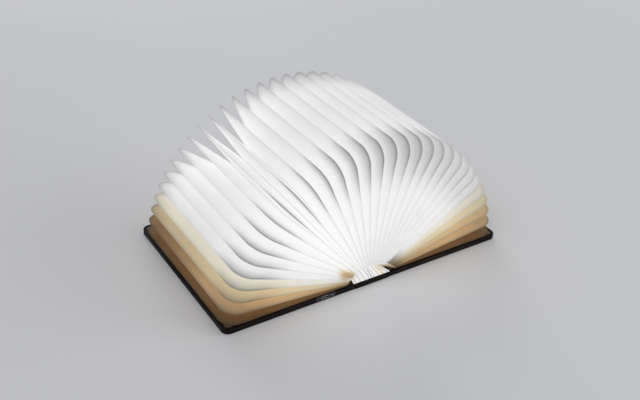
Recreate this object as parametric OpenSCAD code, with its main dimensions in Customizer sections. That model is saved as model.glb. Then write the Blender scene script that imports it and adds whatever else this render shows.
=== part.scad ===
// Folding book lamp lying open on a table: two thin covers hinged on a spine, and between them
// a fan of white paper leaves joined round their free edges by inward-folding pleats, lit by a
// light bar along the spine. Millimetres. X runs across the open book, Y along the spine and
// Z up; the table is z = 0 and the middle of the spine is x = 0, y = 0.

/* [Covers] */
// Length of the book along its spine
book_l = 155; // [140:1:215]
// Width of each cover, from its hinge edge to its fore edge
cover_w = 118.5; // [106:0.5:167]
// Thickness of a finished cover
cover_t = 4.5; // [4.3:0.1:6]
// Corner radius at the fore edge
cover_r = 6; // [3:0.5:12]
// Thickness of the covering leather
leather_t = 0.6; // [0.4:0.1:0.8]
// Width of leather turned over onto the inner face
turn_in = 3; // [2.5:0.5:3.5]
// Thickness of the inner lining
lining_t = 0.5; // [0.3:0.1:0.6]

/* [Spine] */
// Width of the spine, which is also the thickness of the shut book
spine_w = 25; // [23:0.5:40]
// Width of the bending groove between the spine and each cover
hinge_gap = 3.8; // [3.2:0.1:6]
// How far the spine board stays below the shut cover's hinge edge
fold_clear = 0.8; // [0.6:0.1:1.2]

/* [Leaves] */
// How far the covers stand out past the leaves on each free side
page_margin = 1.5; // [1:0.5:6]
// Thickness of one leaf
page_t = 0.2; // [0.15:0.01:0.25]
// Corner radius of the leaves
page_r = 13; // [6:1:26]
// How much is cut off the leaves' corners at their root
root_cut = 8; // [4:0.5:8]
// Height of the end leaves over the lining, to the middle of their thickness
page_lift = 0.7; // [0.5:0.05:1]
// Room beside the stack of leaves in the shut book, to each cover's lining
shut_gap = 0.5; // [0.4:0.05:0.8]
// How much higher than the end leaves the middle leaf is rooted
root_rise = 4.1; // [3.8:0.1:7]
// How far in from the cover's hinge edge the end leaves are rooted
root_in = 0.2; // [0:0.1:2]
// How much closer together the left fan's leaves lie towards their cover
crowd_left = 0.06; // [0:0.01:0.12]
// The same for the right fan
crowd_right = 0.01; // [0:0.01:0.12]

/* [Pleats] */
// How deep the pleats fold in between two leaves
pleat_depth = 34; // [15:1:40]
// Thickness of a pleat wall
pleat_t = 0.3; // [0.2:0.05:0.35]
// Clearance between a pleat wall and the face of its leaf
pleat_clear = 0.32; // [0.3:0.01:0.4]
// Distance from the leaf's root to where its pleats start
pleat_start = 8; // [7:0.5:14]

/* [Root strip] */
// Number of ribs of the root strip on each side of the middle leaf
rib_count = 5; // [3:1:8]
// Depth of the ribs
rib_depth = 1.4; // [0.4:0.1:1.6]
// Thickness of the root strip
strip_t = 0.4; // [0.3:0.05:0.5]
// Clearance between the root strip and what lies next to it
strip_clear = 0.35; // [0.3:0.05:0.5]

/* [Light bar] */
// Distance from the end of the spine to the end of the light bar
bar_in = 10.5; // [10:0.5:15]
// Height of its channel over the spine board
bar_h = 2.4; // [2.3:0.1:2.5]
// Width of its top
bar_top_w = 7.2; // [6.6:0.1:7.6]
// Clearance between its foot and the shut leaves
bar_side = 1.8; // [1:0.1:2.2]
// Width of the slot that holds the lamps
slot_w = 5.2; // [4.6:0.1:5.6]
// Floor thickness under the slot
bar_floor = 0.5; // [0.4:0.1:0.6]
// Thickness of the lamp board
led_board_t = 0.6; // [0.4:0.1:0.7]
// Distance between two lamps
led_pitch = 12; // [8:0.5:20]
// Side of one square lamp
led_size = 3; // [2:0.1:3.5]
// Height of one lamp
led_h = 0.6; // [0.4:0.1:0.7]
// Thickness of the diffuser over the slot
diffuser_t = 0.4; // [0.3:0.1:0.5]

/* [Power] */
// Distance of the charging port from the middle of the book
port_x = 45; // [40:1:60]
// Width of the port's bezel
bezel_w = 18; // [16:0.5:22]
// How far the bezel stands proud of the near edge
bezel_out = 0; // [0:0.1:0.6]
// Width of the socket
socket_w = 7.5; // [7:0.1:9]
// Height of the socket
socket_h = 2.4; // [2.2:0.1:2.6]
// Depth of the socket
socket_d = 5.6; // [5:0.1:7]
// Width of the charging circuit board
board_w = 24; // [20:0.5:30]
// Depth of the charging circuit board
board_d = 13; // [11:0.5:15]
// Thickness of the charging circuit board
board_t = 0.6; // [0.5:0.1:0.7]
// How far out from the middle of the charging port the battery starts
battery_in = 2; // [1:0.5:2]
// Size of the battery across the cover
battery_w = 55; // [30:1:60]
// Size of the battery along the cover
battery_l = 90; // [50:1:92]
// Thickness of the battery
battery_t = 2.6; // [1.8:0.1:2.7]
// Thickness of board left under a pocket
pocket_floor = 0.4; // [0.2:0.1:0.5]
// Clearance around a piece in its pocket
pocket_clear = 0.2; // [0.1:0.05:0.4]
// Width of the flat cable across the left hinge
ribbon_w = 8; // [4:0.5:9]
// Thickness of the flat cable
ribbon_t = 0.3; // [0.2:0.05:0.4]

/* [Magnets] */
// Diameter of a cover magnet
magnet_d = 10; // [6:0.5:12]
// Thickness of a cover magnet
magnet_t = 2; // [1.5:0.1:2.4]
// Distance of a magnet's centre from the fore edge
magnet_in = 10; // [9:0.5:14]
// Distance of a magnet's centre from the book's end
magnet_end = 17.5; // [12:0.5:25]
// Diameter of the small magnet that the opening sensor feels
sensor_magnet_d = 5; // [4:0.5:6]

/* [Hidden] */
$fn = 48;

n_left = 16;                                  // leaf intervals from the middle leaf to the left
n_right = 15;                                 // and to the right
mid = n_left + 1;                             // number of the middle leaf
spine_t = hinge_gap - fold_clear;             // spine board and leather together
cover_x0 = spine_w / 2 + hinge_gap;           // hinge edge of a cover
cover_x1 = cover_x0 + cover_w;                // fore edge of a cover
board_z0 = leather_t;                         // cover board, between leather and lining
board_z1 = cover_t - lining_t;
root_x = cover_x0 + root_in;                  // root of the end leaves
root_z = cover_t + page_lift;
page_w = cover_x1 - page_margin - root_x;
page_l = book_l - 2 * page_margin;
shut_x = spine_w / 2 - cover_t - shut_gap;    // where the shut end leaves stand
bar_foot_w = 2 * (shut_x - page_t / 2 - bar_side);
bar_z0 = spine_t;
bar_z1 = bar_z0 + bar_h;
slot_z = bar_z0 + bar_floor;
led_z = slot_z + led_board_t;
pocket_z = board_z0 + pocket_floor;
socket_z = pocket_z + board_t;
near = -book_l / 2;
bezel_back = near + turn_in;
board_y0 = bezel_back + pocket_clear;
ribbon_y = board_y0 + board_d - ribbon_w / 2 - pocket_clear;
ribbon_z = leather_t + 0.1;
board_x0 = -port_x - board_w / 2;
battery_x = -(port_x + battery_in + battery_w / 2);
bar_l = book_l - 2 * bar_in;
magnet_y = book_l / 2 - magnet_end;

// Angle of leaf k from the right cover round to the left, and its root on the arch
function turn(u, c) = 90 * u * (1 + c * (1 - u * u));
function leaf_angle(k) = k <= mid ? 90 + turn((mid - k) / n_left, crowd_left)
                                  : 90 - turn((k - mid) / n_right, crowd_right);
function arch_x(a) = root_x * (1 - a / 90);
function arch_z(a) = root_z + root_rise * sin(a);
// A point between leaves k and k + 1: share f of the way, u out from the root, y along the spine
function between(k, f, u, y) = let (a = leaf_angle(k) * (1 - f) + leaf_angle(k + 1) * f)
    [arch_x(a) + u * cos(a), y, arch_z(a) + u * sin(a)];
// Distance between the two leaves, u out from their roots
function spread(k, u) = norm(between(k, 0, u, 0) - between(k, 1, u, 0));

// ---- leaves and pleats
module page_outline() {
    y = page_l / 2;
    u = page_w - page_r;
    steps = 8;
    function corner(s, t) = [u + page_r * cos(t), s * (y - page_r) + page_r * sin(t)];
    polygon(concat(
        [[0, root_cut - y], [root_cut, -y]],
        [for (i = [0:steps]) corner(-1, 90 * i / steps - 90)],
        [for (i = [0:steps]) corner(1, 90 * i / steps)],
        [[root_cut, y], [0, y - root_cut]]
    ));
}

module leaf(k) {
    a = leaf_angle(k);
    color("white") translate([arch_x(a), 0, arch_z(a)]) rotate([0, -a, 0])
        translate([0, 0, -page_t / 2]) linear_extrude(page_t) page_outline();
}

// Three free sides of a leaf as one line of points, drawn in by d, with rounded corners
function rim(d) = let (r = max(page_r - d, 8), steps = 4, u1 = page_w - d, y1 = page_l / 2 - d)
    concat(
        [[pleat_start, -y1]],
        [for (i = [0:steps]) let (t = 90 * i / steps) [u1 - r + r * sin(t), -y1 + r - r * cos(t)]],
        [for (i = [0:steps]) let (t = 90 * i / steps) [u1 - r + r * cos(t), y1 - r + r * sin(t)]],
        [[pleat_start, y1]]
    );

// One V pleat between leaves k and k + 1: two thin walls from the leaves' edges in to a fold
module pleat(k) {
    outer = rim(0);
    inner = rim(pleat_depth);
    n = len(outer);
    skin = page_t / 2 + pleat_clear;
    rows = [for (i = [0:n - 1])
        let (u = outer[i][0], y = outer[i][1], s = spread(k, u), f1 = skin / s, f2 = (skin + pleat_t) / s,
            // how far the fold's inner side stands back, for walls of even thickness
            rise = min(pleat_t * pleat_depth / (s / 2 - skin), 0.6 * pleat_depth),
            lip = rim(pleat_depth - rise)[i])
        [between(k, f2, u, y), between(k, 0.5, lip[0], lip[1]), between(k, 1 - f2, u, y),
         between(k, 1 - f1, u, y), between(k, 0.5, inner[i][0], inner[i][1]), between(k, f1, u, y)]];
    polyhedron(
        points = [for (row = rows) each row],
        faces = concat(
            // both faces of a wall are split along the same diagonal
            [for (i = [0:n - 2]) for (j = [0:5]) let (a = 6 * i + j, b = 6 * i + (j + 1) % 6) each
                j == 1 || j == 4 ? [[a, b, b + 6], [a, b + 6, a + 6]] : [[a, b, a + 6], [b, b + 6, a + 6]]],
            [[0, 5, 4], [0, 4, 1], [1, 4, 3], [1, 3, 2]],
            let (z = 6 * (n - 1))
                [[z, z + 4, z + 5], [z, z + 1, z + 4], [z + 1, z + 3, z + 4], [z + 1, z + 2, z + 3]]
        )
    );
}

module pleats_left() { color("white") for (k = [1:n_left]) pleat(k); }
module pleats_right() { color("white") for (k = [mid:mid + n_right - 1]) pleat(k); }

// Ribbed strip that the leaves are rooted on, from beside the middle leaf out to the hinge groove.
// Past the leaves' cut corners it comes down onto the spine and closes the light bar's end.
module root_strip(side) {
    x0 = strip_clear;
    x1 = cover_x0 - strip_clear;
    n = 8 * rib_count;
    xs = [for (i = [0:n]) x0 + (x1 - x0) * i / n];
    dip = [for (i = [0:n]) rib_depth * (0.5 - 0.5 * cos(360 * rib_count * i / n))];
    high = [for (i = [0:n]) arch_z(90 * (1 - xs[i] / root_x)) - strip_clear - 0.05 - dip[i]];
    low = [for (i = [0:n]) min(high[i], spine_t + strip_clear + strip_t + rib_depth - dip[i])];
    m = 2 * n + 2;
    function ring(y, top) = concat([for (i = [0:n]) [side * xs[i], y, top[i]]],
        [for (i = [n:-1:0]) [side * xs[i], y, top[i] - strip_t]]);
    y1 = page_l / 2;
    y0 = y1 - root_cut;
    skin = [for (r = [0:2]) for (i = [0:m - 1]) let (a = m * r + i, b = m * r + (i + 1) % m) each
        [[a, b, a + m], [b, b + m, a + m]]];
    ends = [for (i = [0:n - 1]) each [[i, m - 1 - i, i + 1], [i + 1, m - 1 - i, m - 2 - i]]];
    faces = concat(skin, ends, [for (t = ends) [for (j = [2:-1:0]) t[j] + 3 * m]]);
    color("linen") polyhedron(concat(ring(-y1, low), ring(-y0, high), ring(y0, high), ring(y1, low)),
        side > 0 ? [for (t = faces) [t[2], t[1], t[0]]] : faces);
}

module root_strip_left() { root_strip(-1); }
module root_strip_right() { root_strip(1); }

// ---- spine and light bar
module slab(x0, x1, y0, y1, z0, z1) { translate([x0, y0, z0]) cube([x1 - x0, y1 - y0, z1 - z0]); }

module spine_leather() {
    color("#241a16") slab(-spine_w / 2, spine_w / 2, near, -near, 0, leather_t);
}

module spine_board() {
    color("#4a3a30") difference() {
        slab(-spine_w / 2, spine_w / 2, near, -near, leather_t, spine_t);
        ribbon_space(-spine_w, -spine_w / 4, leather_t - 1);
    }
}

module hinge_strip(side) {
    color("#2a1d18") translate([side * (spine_w / 2 + hinge_gap / 2) - hinge_gap / 2, near, 0])
        cube([hinge_gap, book_l, leather_t]);
}

module hinge_leather_left() { hinge_strip(-1); }
module hinge_leather_right() { hinge_strip(1); }

module led_housing() {
    color("gainsboro") translate([0, bar_l / 2, 0]) rotate([90, 0, 0]) linear_extrude(bar_l) difference() {
        polygon([[-bar_foot_w / 2, bar_z0], [bar_foot_w / 2, bar_z0], [bar_foot_w / 2, bar_z0 + bar_floor],
            [bar_top_w / 2, bar_z1], [-bar_top_w / 2, bar_z1], [-bar_foot_w / 2, bar_z0 + bar_floor]]);
        translate([-slot_w / 2, slot_z]) square([slot_w, bar_h]);
    }
}

module led_board() {
    w = slot_w - 2 * pocket_clear;
    color("honeydew") slab(-w / 2, w / 2, -bar_l / 2 + 2, bar_l / 2 - 2, slot_z, led_z);
}

module led_chips() {
    n = floor((bar_l / 2 - 12) / led_pitch);
    r = led_size / 2;
    color("lemonchiffon") for (i = [-n:n])
        slab(-r, r, i * led_pitch - r, i * led_pitch + r, led_z, led_z + led_h);
}

module lid_sensor() {
    color("dimgray") slab(-1.5, 1.5, bar_l / 2 - 7, bar_l / 2 - 3.5, led_z, led_z + led_h);
}

module led_diffuser() {
    w = slot_w - 2 * pocket_clear;
    color("white") union() {
        slab(-bar_top_w / 2, bar_top_w / 2, -bar_l / 2, bar_l / 2, bar_z1, bar_z1 + diffuser_t);
        slab(-w / 2, w / 2, -bar_l / 2, bar_l / 2, bar_z1 - 0.5, bar_z1);
    }
}

module power_ribbon() {
    color("darkorange") slab(-port_x + board_w / 2 + pocket_clear, -spine_w / 4 - pocket_clear,
        ribbon_y - ribbon_w / 2, ribbon_y + ribbon_w / 2, ribbon_z, ribbon_z + ribbon_t);
}

// Space for the flat cable, from x0 to x1, open downwards from its top
module ribbon_space(x0, x1, z0) {
    w = ribbon_w / 2 + pocket_clear;
    slab(x0, x1, ribbon_y - w, ribbon_y + w, z0, ribbon_z + ribbon_t + pocket_clear);
}

// ---- covers, drawn on the right and mirrored to the left
module cover_outline(inset) {
    x0 = cover_x0;
    r = cover_r - inset;
    w = cover_x1 - inset - x0;
    l = book_l - 2 * inset;
    translate([x0, -l / 2]) union() {
        square([w - r, l]);
        translate([w - r, r]) square([r, l - 2 * r]);
        for (y = [r, l - r]) translate([w - r, y]) circle(r);
    }
}

// The cover without its hinge edge, for what stays back from all four edges
module inner_outline(inset) {
    intersection() {
        cover_outline(inset);
        translate([cover_x0 + inset, -book_l]) square([2 * cover_w, 2 * book_l]);
    }
}

module port_cut(clear) {
    w = bezel_w / 2 + clear;
    slab(-port_x - w, -port_x + w, near - 5, bezel_back + clear, board_z0, cover_t + 1);
}

module leather_shell() {
    difference() {
        linear_extrude(cover_t) cover_outline(0);
        translate([0, 0, board_z0]) linear_extrude(board_z1 - board_z0) inner_outline(leather_t);
        translate([0, 0, board_z1]) linear_extrude(cover_t) inner_outline(turn_in);
    }
}

module cover_leather_left() {
    color("#241a16") difference() {
        mirror([1, 0, 0]) leather_shell();
        port_cut(0);
        ribbon_cut();
    }
}

module cover_leather_right() { color("#241a16") leather_shell(); }

module ribbon_cut() { ribbon_space(-port_x, -cover_x0 + 1, board_z0); }

module magnet_spots() {
    for (y = [-magnet_y, magnet_y]) translate([cover_x1 - magnet_in, y, board_z0]) children();
}

module plain_board() {
    difference() {
        translate([0, 0, board_z0]) linear_extrude(board_z1 - board_z0) inner_outline(leather_t);
        magnet_spots() translate([0, 0, -1])
            cylinder(h = 1 + magnet_t + pocket_clear, d = magnet_d + 2 * pocket_clear);
    }
}

module cover_board_left() {
    c = pocket_clear;
    color("#4a3a30") difference() {
        mirror([1, 0, 0]) plain_board();
        port_cut(0);
        ribbon_cut();
        slab(board_x0 - c, board_x0 + board_w + c, bezel_back - c, board_y0 + board_d + c, pocket_z, cover_t);
        slab(battery_x - battery_w / 2 - c, battery_x + battery_w / 2 + c,
            -battery_l / 2 - c, battery_l / 2 + c, pocket_z, cover_t);
        slab(board_x0 + 1, board_x0 + 9, board_y0 + board_d - 1, -battery_l / 2 + 1,
            pocket_z, pocket_z + 1.2);
    }
}

module cover_board_right() {
    color("#4a3a30") difference() {
        plain_board();
        translate([cover_x0 + 8, bar_l / 2 - 5, board_z0 - 1])
            cylinder(h = 1 + magnet_t + pocket_clear, d = sensor_magnet_d + 2 * pocket_clear);
    }
}

module lining() { translate([0, 0, board_z1]) linear_extrude(lining_t) inner_outline(turn_in); }
module lining_left() { color("#3a2a22") mirror([1, 0, 0]) lining(); }
module lining_right() { color("#3a2a22") lining(); }

module magnets_left() {
    color("silver") mirror([1, 0, 0]) magnet_spots() cylinder(h = magnet_t, d = magnet_d);
}

module magnets_right() {
    color("silver") {
        magnet_spots() cylinder(h = magnet_t, d = magnet_d);
        translate([cover_x0 + 8, bar_l / 2 - 5, board_z0]) cylinder(h = magnet_t, d = sensor_magnet_d);
    }
}

// ---- battery and charging port, in the left cover
module battery() {
    color("lightsteelblue") union() {
        slab(battery_x - battery_w / 2, battery_x + battery_w / 2, -battery_l / 2, battery_l / 2,
            pocket_z, pocket_z + battery_t);
        for (x = [2.5, 6]) slab(board_x0 + x, board_x0 + x + 1.5,
            board_y0 + board_d + 0.1, -battery_l / 2, pocket_z, pocket_z + 0.5);
    }
}

module charge_board() {
    color("darkgreen")
        slab(board_x0, board_x0 + board_w, board_y0, board_y0 + board_d, pocket_z, pocket_z + board_t);
}

module usb_bezel() {
    c = pocket_clear / 2;
    color("#1c1c1e") difference() {
        slab(-port_x - bezel_w / 2, -port_x + bezel_w / 2, near - bezel_out, bezel_back, board_z0, cover_t);
        slab(-port_x - socket_w / 2 - c, -port_x + socket_w / 2 + c, near - 5, bezel_back + 1,
            socket_z - c, socket_z + socket_h + c);
        light_spot() translate([0, 0, -1]) cylinder(h = turn_in + bezel_out + 2, d = 1.8);
    }
}

module light_spot() {
    translate([-port_x + (bezel_w + socket_w) / 4, bezel_back, (board_z0 + cover_t) / 2])
        rotate([90, 0, 0]) children();
}

module charge_light() {
    color("limegreen") light_spot() cylinder(h = turn_in + bezel_out - 0.1, d = 1.6);
}

module usb_socket() {
    w = 0.25;
    color("silver") translate([-port_x, near + 0.2, socket_z]) union() {
        difference() {
            translate([-socket_w / 2, 0, 0]) cube([socket_w, socket_d, socket_h]);
            translate([-socket_w / 2 + w, -1, w]) cube([socket_w - 2 * w, socket_d, socket_h - 2 * w]);
        }
        translate([-socket_w / 2 + 1.2, 1, socket_h / 2 - 0.3]) cube([socket_w - 2.4, socket_d - 1.5, 0.6]);
    }
}

// ---- the leaves, from the left cover over to the right one
module page_01() { leaf(1); }
module page_02() { leaf(2); }
module page_03() { leaf(3); }
module page_04() { leaf(4); }
module page_05() { leaf(5); }
module page_06() { leaf(6); }
module page_07() { leaf(7); }
module page_08() { leaf(8); }
module page_09() { leaf(9); }
module page_10() { leaf(10); }
module page_11() { leaf(11); }
module page_12() { leaf(12); }
module page_13() { leaf(13); }
module page_14() { leaf(14); }
module page_15() { leaf(15); }
module page_16() { leaf(16); }
module page_17() { leaf(17); }
module page_18() { leaf(18); }
module page_19() { leaf(19); }
module page_20() { leaf(20); }
module page_21() { leaf(21); }
module page_22() { leaf(22); }
module page_23() { leaf(23); }
module page_24() { leaf(24); }
module page_25() { leaf(25); }
module page_26() { leaf(26); }
module page_27() { leaf(27); }
module page_28() { leaf(28); }
module page_29() { leaf(29); }
module page_30() { leaf(30); }
module page_31() { leaf(31); }
module page_32() { leaf(32); }

page_01();
page_02();
page_03();
page_04();
page_05();
page_06();
page_07();
page_08();
page_09();
page_10();
page_11();
page_12();
page_13();
page_14();
page_15();
page_16();
page_17();
page_18();
page_19();
page_20();
page_21();
page_22();
page_23();
page_24();
page_25();
page_26();
page_27();
page_28();
page_29();
page_30();
page_31();
page_32();
pleats_left();
pleats_right();
root_strip_left();
root_strip_right();
spine_leather();
spine_board();
hinge_leather_left();
hinge_leather_right();
led_housing();
led_board();
led_chips();
lid_sensor();
led_diffuser();
power_ribbon();
cover_leather_left();
cover_board_left();
lining_left();
magnets_left();
battery();
charge_board();
usb_bezel();
usb_socket();
charge_light();
cover_leather_right();
cover_board_right();
lining_right();
magnets_right();
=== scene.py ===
import math

import bpy
import bmesh
from mathutils import Matrix, Vector


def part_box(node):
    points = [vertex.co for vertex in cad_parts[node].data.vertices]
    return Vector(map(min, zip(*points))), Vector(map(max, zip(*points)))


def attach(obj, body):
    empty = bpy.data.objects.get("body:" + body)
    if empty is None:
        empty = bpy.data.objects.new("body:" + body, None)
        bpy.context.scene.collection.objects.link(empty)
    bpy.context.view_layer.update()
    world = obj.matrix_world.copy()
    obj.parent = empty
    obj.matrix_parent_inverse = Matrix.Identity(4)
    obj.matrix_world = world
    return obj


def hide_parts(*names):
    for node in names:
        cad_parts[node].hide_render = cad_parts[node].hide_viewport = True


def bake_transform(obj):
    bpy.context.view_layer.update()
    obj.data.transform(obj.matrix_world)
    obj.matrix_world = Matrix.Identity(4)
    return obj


bl_info = {
    "name": "Folding Book Lamp",
    "version": (1, 0, 0),
    "blender": (4, 5, 0),
    "location": "View3D > Sidebar > Book Lamp",
    "description": "Dresses a book lamp's frame with pleated paper, leather covers and a light bar",
    "category": "Object",
}

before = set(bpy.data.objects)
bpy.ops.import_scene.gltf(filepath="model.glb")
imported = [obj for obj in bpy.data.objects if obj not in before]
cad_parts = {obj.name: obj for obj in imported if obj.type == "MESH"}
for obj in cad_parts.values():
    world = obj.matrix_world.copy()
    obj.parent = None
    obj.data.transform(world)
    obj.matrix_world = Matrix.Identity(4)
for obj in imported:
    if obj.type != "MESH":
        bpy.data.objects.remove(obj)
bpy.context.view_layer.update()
LEFT_LEAVES, RIGHT_LEAVES = 16, 15
MIDDLE = LEFT_LEAVES + 1
COVER_LOW, COVER_HIGH = (Vector(p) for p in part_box("cover_leather_right"))
LEAF_LOW, LEAF_HIGH = (Vector(p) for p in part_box("page_32"))
MID_LOW, MID_HIGH = (Vector(p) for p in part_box("page_17"))


# ---------------------------------------------------------------- sizes and colours

def size(name, text, value, low=0.0, high=1.0):
    return bpy.props.FloatProperty(name=name, description=text, default=value, min=low, max=high,
                                   subtype="DISTANCE", unit="LENGTH", precision=5)


def amount(name, text, value, low=0.0, high=1.0):
    return bpy.props.FloatProperty(name=name, description=text, default=value, min=low, max=high)


def colour(name, text, value):
    return bpy.props.FloatVectorProperty(name=name, description=text, default=value, size=3,
                                         min=0.0, max=1.0, subtype="COLOR")


class LeafSizes(bpy.types.PropertyGroup):
    width: size("Leaf width", "From the root to the fore edge", MID_HIGH.z - MID_LOW.z)
    length: size("Leaf length", "Along the spine", MID_HIGH.y - MID_LOW.y)
    corner: size("Corner radius", "Of the leaves' free corners", 0.013)
    root_cut: size("Root cut", "How much the leaves' root corners are cut back", 0.008)
    thickness: size("Thickness", "Of one leaf", MID_HIGH.x - MID_LOW.x)
    root_spread: size("Root spread", "From the middle of the spine to the end leaves' roots", LEAF_LOW.x)
    root_low: size("End root height", "Height of the end leaves' roots",
                   (LEAF_LOW.z + LEAF_HIGH.z) / 2)
    root_high: size("Middle root height", "Height of the middle leaf's root", MID_LOW.z)
    crowd_left: amount("Left crowding", "How much closer the left leaves lie near the cover", 0.06)
    crowd_right: amount("Right crowding", "The same for the right leaves", 0.01)


class PleatSizes(bpy.types.PropertyGroup):
    depth: size("Depth", "How deep a pleat folds in from the leaves' edges", 0.034)
    start: size("Start", "Distance from the root to where the pleats start", 0.0015)
    bend_from: size("Bend from", "Distance from the root from which a ridge keeps to its leaf", 0.050)
    swell: amount("Swell", "How far a pleat wall bulges, as a share of the space between leaves", 0.05)
    arc_points: bpy.props.IntProperty(name="Arc points", description="Points round each corner",
                                      default=12, min=4, max=40)
    edge_points: bpy.props.IntProperty(name="Edge points", description="Points along each straight edge",
                                       default=14, min=2, max=60)
    rows: bpy.props.IntProperty(name="Rows", description="Rows of faces across a pleat", default=16,
                                min=4, max=40)


class PaperLooks(bpy.types.PropertyGroup):
    white: colour("White", "Colour of the paper", (0.54, 0.54, 0.54))
    # painted warm light and shade: the next two colours stand for the lamp's light turning dimmer and
    # warmer low in the fan, where the brown cover shows through
    warm_light_tint: colour("Warm light tint", "Its colour in the warm light low in the fan", (0.64, 0.575, 0.42))
    tan: colour("Warm shade", "Its colour where the brown cover shows through", (0.68, 0.505, 0.29))
    # painted shadow: this brown stands for the shade on the leaves next to a cover, not a colour of the
    # paper
    brown: colour("Brown", "Its colour on the leaves next to a cover", (0.29, 0.16, 0.065))
    # painted shadow: this brown stands for shade at the root, beside the leaves' cut corners and in the
    # root strip's grooves
    root_shade: colour("Root shade", "Colour of the brown paper at the root", (0.28, 0.185, 0.09))
    # painted light: a warm tint where the lamp shines through the root strip
    warm: colour("Warm", "Where the lamp shines through the root strip", (0.62, 0.50, 0.22))
    # painted light: the paper glows by emission, standing in for the lamp inside shining through it
    glow: colour("Glow", "Colour of the light inside", (1.0, 0.99, 0.985))
    warm_glow: colour("Warm glow", "Colour of that light low in the fan", (0.86, 0.78, 0.58))
    glow_strength: amount("Glow strength", "How brightly the paper is lit from inside", 0.466, 0.0, 2.0)
    # painted shade: these two amounts take glow and colour off the paper at the free corners and next to
    # a cover
    corner_dull: amount("Corner dullness", "How much less light reaches the free corners", 0.55)
    cover_dull: amount("Cover dullness", "How much less light reaches the paper next to a cover", 0.30)


class CoverLooks(bpy.types.PropertyGroup):
    leather: colour("Leather", "Main colour of the covers", (0.008, 0.0045, 0.0035))
    worn: colour("Worn leather", "Colour along rubbed edges", (0.045, 0.026, 0.018))
    lining: colour("Lining", "Colour inside the covers", (0.16, 0.10, 0.06))
    grain: amount("Grain", "Size of the leather's pebbles in millimetres", 1.1, 0.2, 5.0)


class SpineSizes(bpy.types.PropertyGroup):
    ribs: bpy.props.IntProperty(name="Ribs", description="Ribs of the root strip on each side",
                                default=4, min=3, max=8)
    rib_depth: size("Rib depth", "How deep the root strip folds in between its ribs", 0.0012)
    strip: size("Strip", "Thickness of the root strip's paper", 0.0003)
    flare: size("Flare", "How far the root strip spreads over the covers at its ends", 0.0019)
    cap: size("Cap", "Height of the leather over the spine's ends", 0.0044)
    slope: size("Slope", "How far in from its end the root strip rises", 0.0085)
    lip: size("Lip", "Thickness of the leather turned over the spine's ends", 0.0004)
    turn_in: size("Turn-in", "How far the leather is turned in there", 0.0016)
    overhang: size("Overhang", "How far the root strip stands past the leaves' ends", 0.0008)
    hinge_over: size("Hinge cap", "Height of the hinge leather over the spine board", 0.0004)
    bend_start: size("Bend start", "From the spine's middle to where the root strip starts to bend",
                     0.0120)
    bend_end: size("Bend end", "From the spine's middle to where it has turned with the cover", 0.0163)
    round: size("Rounding", "Radius of the leather's edges", 0.0006)


class StageSizes(bpy.types.PropertyGroup):
    lens: amount("Lens", "Focal length in millimetres", 50.0, 10.0, 300.0)
    turn: amount("Turn", "Camera's turn round the lamp in degrees", -34.68, -180.0, 180.0)
    height: amount("Height", "Camera's height in degrees over the table", 32.67, -90.0, 90.0)
    roll: amount("Roll", "Camera's roll in degrees", 3.82, -10.0, 10.0)
    distance: size("Distance", "From the camera to its aim", 0.6477, 0.1, 5.0)
    aim: bpy.props.FloatVectorProperty(name="Aim", description="What the camera looks at",
                                       default=(-0.05594, -0.0760, 0.09635), size=3, subtype="XYZ")
    floor: colour("Floor", "Colour of the floor", (0.84, 0.84, 0.85))
    floor_glow: amount("Far floor", "How much paler the floor is made far away", 0.30)
    sky_light: amount("Sky light", "How strongly the world lights the lamp", 0.36)
    sky_seen: amount("Sky seen", "How pale the world is where it is seen itself", 0.62)


GROUPS = {"lamp_leaves": LeafSizes, "lamp_pleats": PleatSizes, "lamp_paper": PaperLooks,
          "lamp_covers": CoverLooks, "lamp_spine": SpineSizes, "lamp_stage": StageSizes}


# ---------------------------------------------------------------- meshes

def put(name, mesh, material, body, smooth=True):
    """A finished piece at the origin, riding on its body."""
    piece = bpy.data.objects.new(name, mesh)
    bpy.context.scene.collection.objects.link(piece)
    mesh.materials.clear()
    mesh.materials.append(material)
    for face in mesh.polygons:
        face.use_smooth = smooth
    if body:
        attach(piece, body)
    return piece


def baked(piece, name):
    """The piece's modifiers applied, as a plain mesh; the piece itself is removed."""
    seen = piece.evaluated_get(bpy.context.evaluated_depsgraph_get())
    mesh = bpy.data.meshes.new_from_object(seen)
    mesh.name = name
    old = piece.data
    bpy.data.objects.remove(piece)
    bpy.data.meshes.remove(old)
    return mesh


def helper(name, mesh):
    piece = bpy.data.objects.new(name, mesh)
    bpy.context.scene.collection.objects.link(piece)
    return piece


def skin(form, rings):
    """Joins rings of points into one closed solid."""
    n = len(rings[0])
    for a, b in zip(rings, rings[1:]):
        for i in range(n):
            form.faces.new((a[i], a[(i + 1) % n], b[(i + 1) % n], b[i]))
    form.faces.new(rings[0])
    form.faces.new(rings[-1][::-1])
    bmesh.ops.recalc_face_normals(form, faces=form.faces)


def leaf_turns():
    """Each leaf's angle from the right cover, in degrees, by its number."""
    leaves = bpy.context.scene.lamp_leaves
    found = {}
    for number in range(1, LEFT_LEAVES + RIGHT_LEAVES + 2):
        if number <= MIDDLE:
            u, crowd, way = (MIDDLE - number) / LEFT_LEAVES, leaves.crowd_left, 1
        else:
            u, crowd, way = (number - MIDDLE) / RIGHT_LEAVES, leaves.crowd_right, -1
        found[number] = 90 + way * 90 * u * (1 + crowd * (1 - u * u))
    return found


def root_at(turn):
    leaves = bpy.context.scene.lamp_leaves
    rise = leaves.root_high - leaves.root_low
    return Vector((leaves.root_spread * (1 - turn / 90), 0,
                   leaves.root_low + rise * math.sin(math.radians(turn))))


def out_from(turn):
    return Vector((math.cos(math.radians(turn)), 0, math.sin(math.radians(turn))))


# ---------------------------------------------------------------- node trees

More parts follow.
